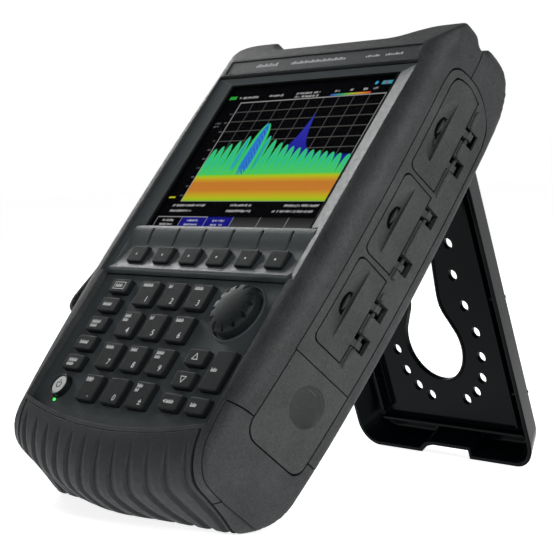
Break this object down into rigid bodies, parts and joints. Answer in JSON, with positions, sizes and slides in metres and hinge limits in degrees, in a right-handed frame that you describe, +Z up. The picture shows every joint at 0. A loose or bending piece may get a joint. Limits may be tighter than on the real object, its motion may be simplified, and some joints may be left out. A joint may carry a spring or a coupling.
{
  "type": "handheld microwave signal analyser",
  "caption": "Handheld microwave signal analyser leaning back on its open kickstand, with keypad, tuning knob, soft keys, hinged port doors, ribbed bumper and a hand strap.",
  "frame": {"origin": "on the ground, under the middle of the instrument's bounding box", "axes": "+Z up, -Y towards the user who faces the screen, +X to that user's right"},
  "size_m": [0.2006, 0.267, 0.2432],
  "materials": {
    "case": "charcoal elastomer over-mould with a fine grain",
    "rubber": "matt rubber, fine grain",
    "panel": "grey-brown grained moulding",
    "bezel": "satin blue-grey moulding",
    "keypad": "matt grey-green moulding",
    "key": "matt near-black keycap with white marks",
    "button": "pale grey disc in a black ring",
    "knob": "satin black",
    "glass": "clear, glossy",
    "display": "lit screen",
    "stand": "glossy black moulding",
    "steel": "plain",
    "webbing": "woven black webbing",
    "board": "circuit board",
    "shield": "plain",
    "battery": "plain",
    "lamp": "lit green"
  },
  "bodies": {
    "case": {"front_housing": "case", "rear_housing": "case", "bottom_bumper": "rubber", "corner_guard_right": "rubber", "corner_guard_left": "rubber", "side_panel_right": "panel", "side_panel_left": "panel", "display_bezel": "bezel", "display_window": "glass", "lcd_panel": "display", "nameplate": "bezel", "keypad_panel": "keypad", "main_board": "board", "rf_module": "shield", "battery_pack": "battery", "port_plate": "steel", "rf_port_left": "steel", "rf_port_right": "steel", "power_lamp": "lamp", "encoder_shaft": "steel", "stand_pin": "steel", "hand_strap": "webbing", "strap_anchor_upper": "steel", "strap_anchor_lower": "steel"},
    "stand": {"kickstand": "stand"},
    "upper_door": {"door_upper": "panel"},
    "middle_door": {"door_middle": "panel"},
    "lower_door": {"door_lower": "panel"},
    "battery_cover": {"battery_door": "panel"},
    "knob": {"tuning_knob": "knob"},
    "power": {"power_button": "button"},
    "softkey_1_cap": {"softkey_1": "key"},
    "softkey_2_cap": {"softkey_2": "key"},
    "softkey_3_cap": {"softkey_3": "key"},
    "softkey_4_cap": {"softkey_4": "key"},
    "softkey_5_cap": {"softkey_5": "key"},
    "softkey_6_cap": {"softkey_6": "key"},
    "key_mode_cap": {"key_mode": "key"},
    "key_frequency_cap": {"key_frequency": "key"},
    "key_scale_cap": {"key_scale": "key"},
    "key_marker_cap": {"key_marker": "key"},
    "key_tools_cap": {"key_tools": "key"},
    "key_1_cap": {"key_1": "key"},
    "key_2_cap": {"key_2": "key"},
    "key_3_cap": {"key_3": "key"},
    "key_4_cap": {"key_4": "key"},
    "key_5_cap": {"key_5": "key"},
    "key_6_cap": {"key_6": "key"},
    "key_7_cap": {"key_7": "key"},
    "key_8_cap": {"key_8": "key"},
    "key_9_cap": {"key_9": "key"},
    "key_point_cap": {"key_point": "key"},
    "key_0_cap": {"key_0": "key"},
    "key_sign_cap": {"key_sign": "key"},
    "key_up_cap": {"key_up": "key"},
    "key_down_cap": {"key_down": "key"},
    "key_back_cap": {"key_back": "key"},
    "key_enter_cap": {"key_enter": "key"},
    "key_escape_cap": {"key_escape": "key"}
  },
  "joints": [
    {"name": "stand_hinge", "type": "hinge", "parent": "case", "child": "stand", "pos_m": [0.00569, 0.0693, 0.18303], "axis": [1, 0, 0], "range_deg": [-57.2, 0]},
    {"name": "upper_door_hinge", "type": "hinge", "parent": "case", "child": "upper_door", "pos_m": [0.09579, 0.04141, 0.17677], "axis": [0, 0.6374, 0.7705], "range_deg": [0, 110]},
    {"name": "middle_door_hinge", "type": "hinge", "parent": "case", "child": "middle_door", "pos_m": [0.09729, 0.00508, 0.13286], "axis": [0, 0.6374, 0.7705], "range_deg": [0, 110]},
    {"name": "lower_door_hinge", "type": "hinge", "parent": "case", "child": "lower_door", "pos_m": [0.09709, -0.02807, 0.09279], "axis": [0, 0.6374, 0.7705], "range_deg": [0, 110]},
    {"name": "battery_cover_slide", "type": "slide", "parent": "case", "child": "battery_cover", "axis": [1, 0, 0], "range_m": [0, 0.025]},
    {"name": "knob_turn", "type": "hinge", "parent": "case", "child": "knob", "pos_m": [0.05599, -0.07695, 0.10351], "axis": [0, 0.7705, -0.6374], "continuous": true},
    {"name": "power_press", "type": "slide", "parent": "case", "child": "power", "axis": [0, 0.7705, -0.6374], "range_m": [0, 0.001], "stiffness_N_per_m": 300, "springref_m": -0.002},
    {"name": "softkey_1_press", "type": "slide", "parent": "case", "child": "softkey_1_cap", "axis": [0, 0.7705, -0.6374], "range_m": [0, 0.001], "stiffness_N_per_m": 300, "springref_m": -0.002},
    {"name": "softkey_2_press", "type": "slide", "parent": "case", "child": "softkey_2_cap", "axis": [0, 0.7705, -0.6374], "range_m": [0, 0.001], "stiffness_N_per_m": 300, "springref_m": -0.002},
    {"name": "softkey_3_press", "type": "slide", "parent": "case", "child": "softkey_3_cap", "axis": [0, 0.7705, -0.6374], "range_m": [0, 0.001], "stiffness_N_per_m": 300, "springref_m": -0.002},
    {"name": "softkey_4_press", "type": "slide", "parent": "case", "child": "softkey_4_cap", "axis": [0, 0.7705, -0.6374], "range_m": [0, 0.001], "stiffness_N_per_m": 300, "springref_m": -0.002},
    {"name": "softkey_5_press", "type": "slide", "parent": "case", "child": "softkey_5_cap", "axis": [0, 0.7705, -0.6374], "range_m": [0, 0.001], "stiffness_N_per_m": 300, "springref_m": -0.002},
    {"name": "softkey_6_press", "type": "slide", "parent": "case", "child": "softkey_6_cap", "axis": [0, 0.7705, -0.6374], "range_m": [0, 0.001], "stiffness_N_per_m": 300, "springref_m": -0.002},
    {"name": "key_mode_press", "type": "slide", "parent": "case", "child": "key_mode_cap", "axis": [0, 0.7705, -0.6374], "range_m": [0, 0.001], "stiffness_N_per_m": 300, "springref_m": -0.002},
    {"name": "key_frequency_press", "type": "slide", "parent": "case", "child": "key_frequency_cap", "axis": [0, 0.7705, -0.6374], "range_m": [0, 0.001], "stiffness_N_per_m": 300, "springref_m": -0.002},
    {"name": "key_scale_press", "type": "slide", "parent": "case", "child": "key_scale_cap", "axis": [0, 0.7705, -0.6374], "range_m": [0, 0.001], "stiffness_N_per_m": 300, "springref_m": -0.002},
    {"name": "key_marker_press", "type": "slide", "parent": "case", "child": "key_marker_cap", "axis": [0, 0.7705, -0.6374], "range_m": [0, 0.001], "stiffness_N_per_m": 300, "springref_m": -0.002},
    {"name": "key_tools_press", "type": "slide", "parent": "case", "child": "key_tools_cap", "axis": [0, 0.7705, -0.6374], "range_m": [0, 0.001], "stiffness_N_per_m": 300, "springref_m": -0.002},
    {"name": "key_1_press", "type": "slide", "parent": "case", "child": "key_1_cap", "axis": [0, 0.7705, -0.6374], "range_m": [0, 0.001], "stiffness_N_per_m": 300, "springref_m": -0.002},
    {"name": "key_2_press", "type": "slide", "parent": "case", "child": "key_2_cap", "axis": [0, 0.7705, -0.6374], "range_m": [0, 0.001], "stiffness_N_per_m": 300, "springref_m": -0.002},
    {"name": "key_3_press", "type": "slide", "parent": "case", "child": "key_3_cap", "axis": [0, 0.7705, -0.6374], "range_m": [0, 0.001], "stiffness_N_per_m": 300, "springref_m": -0.002},
    {"name": "key_4_press", "type": "slide", "parent": "case", "child": "key_4_cap", "axis": [0, 0.7705, -0.6374], "range_m": [0, 0.001], "stiffness_N_per_m": 300, "springref_m": -0.002},
    {"name": "key_5_press", "type": "slide", "parent": "case", "child": "key_5_cap", "axis": [0, 0.7705, -0.6374], "range_m": [0, 0.001], "stiffness_N_per_m": 300, "springref_m": -0.002},
    {"name": "key_6_press", "type": "slide", "parent": "case", "child": "key_6_cap", "axis": [0, 0.7705, -0.6374], "range_m": [0, 0.001], "stiffness_N_per_m": 300, "springref_m": -0.002},
    {"name": "key_7_press", "type": "slide", "parent": "case", "child": "key_7_cap", "axis": [0, 0.7705, -0.6374], "range_m": [0, 0.001], "stiffness_N_per_m": 300, "springref_m": -0.002},
    {"name": "key_8_press", "type": "slide", "parent": "case", "child": "key_8_cap", "axis": [0, 0.7705, -0.6374], "range_m": [0, 0.001], "stiffness_N_per_m": 300, "springref_m": -0.002},
    {"name": "key_9_press", "type": "slide", "parent": "case", "child": "key_9_cap", "axis": [0, 0.7705, -0.6374], "range_m": [0, 0.001], "stiffness_N_per_m": 300, "springref_m": -0.002},
    {"name": "key_point_press", "type": "slide", "parent": "case", "child": "key_point_cap", "axis": [0, 0.7705, -0.6374], "range_m": [0, 0.001], "stiffness_N_per_m": 300, "springref_m": -0.002},
    {"name": "key_0_press", "type": "slide", "parent": "case", "child": "key_0_cap", "axis": [0, 0.7705, -0.6374], "range_m": [0, 0.001], "stiffness_N_per_m": 300, "springref_m": -0.002},
    {"name": "key_sign_press", "type": "slide", "parent": "case", "child": "key_sign_cap", "axis": [0, 0.7705, -0.6374], "range_m": [0, 0.001], "stiffness_N_per_m": 300, "springref_m": -0.002},
    {"name": "key_up_press", "type": "slide", "parent": "case", "child": "key_up_cap", "axis": [0, 0.7705, -0.6374], "range_m": [0, 0.001], "stiffness_N_per_m": 300, "springref_m": -0.002},
    {"name": "key_down_press", "type": "slide", "parent": "case", "child": "key_down_cap", "axis": [0, 0.7705, -0.6374], "range_m": [0, 0.001], "stiffness_N_per_m": 300, "springref_m": -0.002},
    {"name": "key_back_press", "type": "slide", "parent": "case", "child": "key_back_cap", "axis": [0, 0.7705, -0.6374], "range_m": [0, 0.001], "stiffness_N_per_m": 300, "springref_m": -0.002},
    {"name": "key_enter_press", "type": "slide", "parent": "case", "child": "key_enter_cap", "axis": [0, 0.7705, -0.6374], "range_m": [0, 0.001], "stiffness_N_per_m": 300, "springref_m": -0.002},
    {"name": "key_escape_press", "type": "slide", "parent": "case", "child": "key_escape_cap", "axis": [0, 0.7705, -0.6374], "range_m": [0, 0.001], "stiffness_N_per_m": 300, "springref_m": -0.002}
  ]
}
